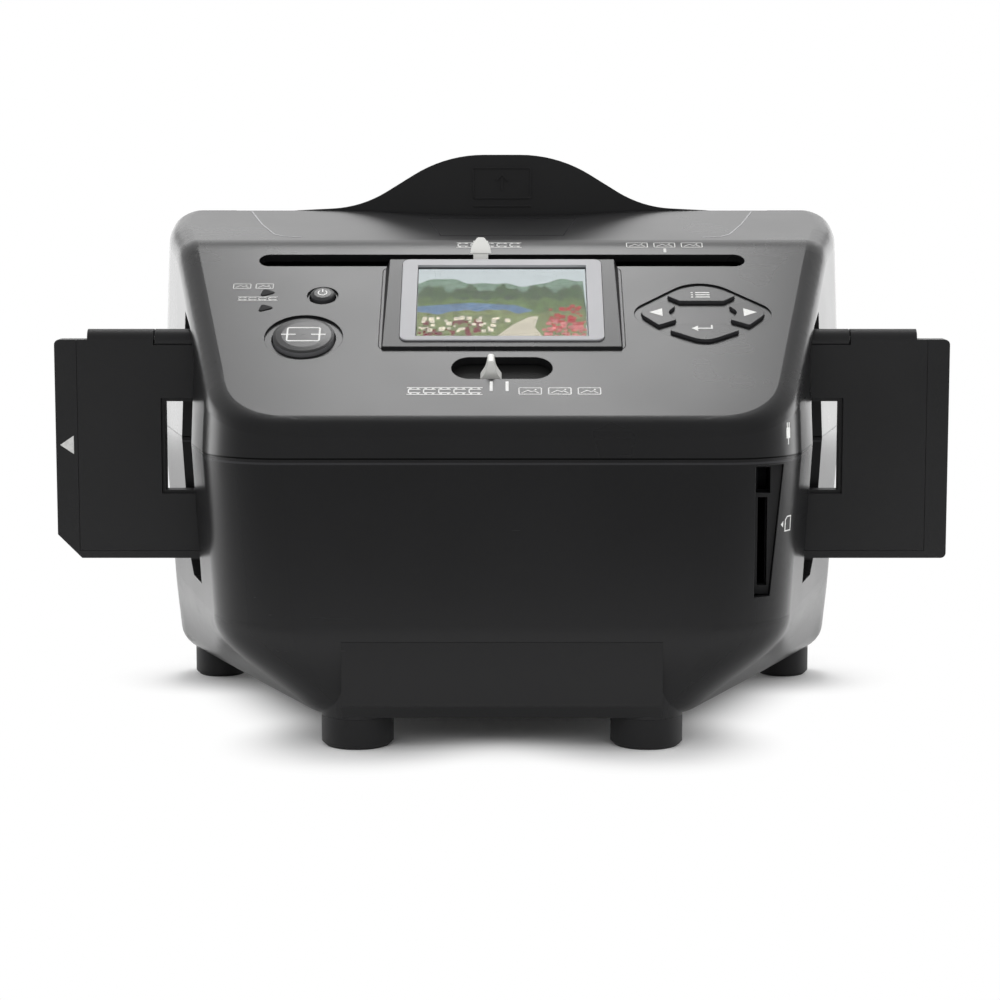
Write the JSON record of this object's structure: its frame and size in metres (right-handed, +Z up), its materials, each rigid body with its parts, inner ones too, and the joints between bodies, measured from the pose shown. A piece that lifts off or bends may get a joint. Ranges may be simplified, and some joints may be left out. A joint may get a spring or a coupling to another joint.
{
  "type": "film negative scanner",
  "caption": "Desktop film and photo scanner: wedge housing with display and keys, hinged film holder through its sides, photo tray standing up at the back.",
  "frame": {"origin": "on the table under the middle of the bounding box", "axes": "+Z up, the front with the ports faces -Y, +X to the right as the user sees it and along the film holder"},
  "size_m": [0.26, 0.13, 0.1643],
  "materials": {
    "base_gloss": "gloss black moulding",
    "cover_gloss": "satin gloss graphite grey moulding",
    "bezel_gloss": "gloss dark grey",
    "silver_trim": "satin silver paint",
    "screen_glass": "clear window",
    "screen_panel": "lit display",
    "foot_rubber": "matte rubber",
    "steel": "plain steel",
    "matte_black": "fine grain",
    "inner_black": "light-absorbing matte",
    "inner_white": "matte white",
    "diffuser": "opal sheet",
    "board_green": "solder mask",
    "dome_rubber": "silicone",
    "status_lens": "smoked lens",
    "holder_black": "fine grained black",
    "tray_black": "satin black",
    "lever_grey": "pale grey moulding",
    "lens": "coated lens",
    "key_grey": "satin grey cap",
    "key_dark": "satin dark grey cap"
  },
  "bodies": {
    "housing": {"base_housing": "base_gloss", "top_cover": "cover_gloss", "front_feet": "foot_rubber", "rear_feet": "foot_rubber", "case_screws": "steel", "display_bezel": "bezel_gloss", "display_frame": "silver_trim", "display_window": "screen_glass", "display_panel": "screen_panel", "left_slot_trim": "matte_black", "right_slot_trim": "matte_black", "film_gate": "inner_black", "sensor_housing": "inner_black", "sensor_board": "board_green", "camera_bracket": "inner_black", "carriage_frame": "steel", "carriage_rods": "steel", "main_board": "board_green", "key_board": "board_green", "key_domes": "dome_rubber", "panel_screws": "steel", "status_lights": "status_lens", "photo_guide": "inner_black", "photo_lamps": "board_green", "port_insert": "matte_black", "port_board": "board_green", "card_socket": "steel", "usb_socket": "steel"},
    "film_holder": {"holder_back": "holder_black", "holder_lid": "holder_black", "holder_hinge_pins": "steel", "holder_magnets": "steel"},
    "photo_tray": {"photo_tray_frame": "tray_black", "photo_tray_back": "tray_black", "tray_hinge_pin": "steel"},
    "light_carriage": {"light_housing": "inner_white", "light_diffuser": "diffuser", "light_board": "board_green", "film_pointer": "lever_grey"},
    "focus_lever_body": {"focus_lever": "lever_grey", "focus_cam_plate": "inner_black"},
    "lens": {"lens_barrel": "inner_black", "lens_glass": "lens"},
    "scan_key": {"scan_button": "key_grey"},
    "power_key": {"power_button": "key_grey"},
    "mode_key": {"mode_button": "key_dark"},
    "enter_key": {"enter_button": "key_dark"},
    "left_key": {"left_button": "key_dark"},
    "right_key": {"right_button": "key_dark"}
  },
  "joints": [
    {"name": "holder_slide", "type": "slide", "parent": "housing", "child": "film_holder", "axis": [1, 0, 0], "range_m": [-0.225, 0.225]},
    {"name": "photo_tray_lift", "type": "slide", "parent": "housing", "child": "photo_tray", "axis": [0, 0, 1], "range_m": [0, 0.128]},
    {"name": "light_slide", "type": "slide", "parent": "housing", "child": "light_carriage", "axis": [1, 0, 0], "range_m": [0, 0.0554]},
    {"name": "focus_slide", "type": "slide", "parent": "housing", "child": "focus_lever_body", "axis": [1, 0, 0], "range_m": [0, 0.0045]},
    {"name": "lens_slide", "type": "slide", "parent": "housing", "child": "lens", "axis": [0, 1, 0], "range_m": [0, 0.002]},
    {"name": "scan_press", "type": "slide", "parent": "housing", "child": "scan_key", "axis": [0, 0.5075, -0.8616], "range_m": [0, 0.0005], "stiffness_N_per_m": 400, "springref_m": -0.0003},
    {"name": "power_press", "type": "slide", "parent": "housing", "child": "power_key", "axis": [0, 0.5075, -0.8616], "range_m": [0, 0.0005], "stiffness_N_per_m": 400, "springref_m": -0.0003},
    {"name": "mode_press", "type": "slide", "parent": "housing", "child": "mode_key", "axis": [0, 0.5075, -0.8616], "range_m": [0, 0.0005], "stiffness_N_per_m": 400, "springref_m": -0.0003},
    {"name": "enter_press", "type": "slide", "parent": "housing", "child": "enter_key", "axis": [0, 0.5075, -0.8616], "range_m": [0, 0.0005], "stiffness_N_per_m": 400, "springref_m": -0.0003},
    {"name": "left_press", "type": "slide", "parent": "housing", "child": "left_key", "axis": [0, 0.5075, -0.8616], "range_m": [0, 0.0005], "stiffness_N_per_m": 400, "springref_m": -0.0003},
    {"name": "right_press", "type": "slide", "parent": "housing", "child": "right_key", "axis": [0, 0.5075, -0.8616], "range_m": [0, 0.0005], "stiffness_N_per_m": 400, "springref_m": -0.0003}
  ],
  "couplings": [
    {"joint": "lens_slide", "follows": "focus_slide", "ratio": 0.44444}
  ]
}
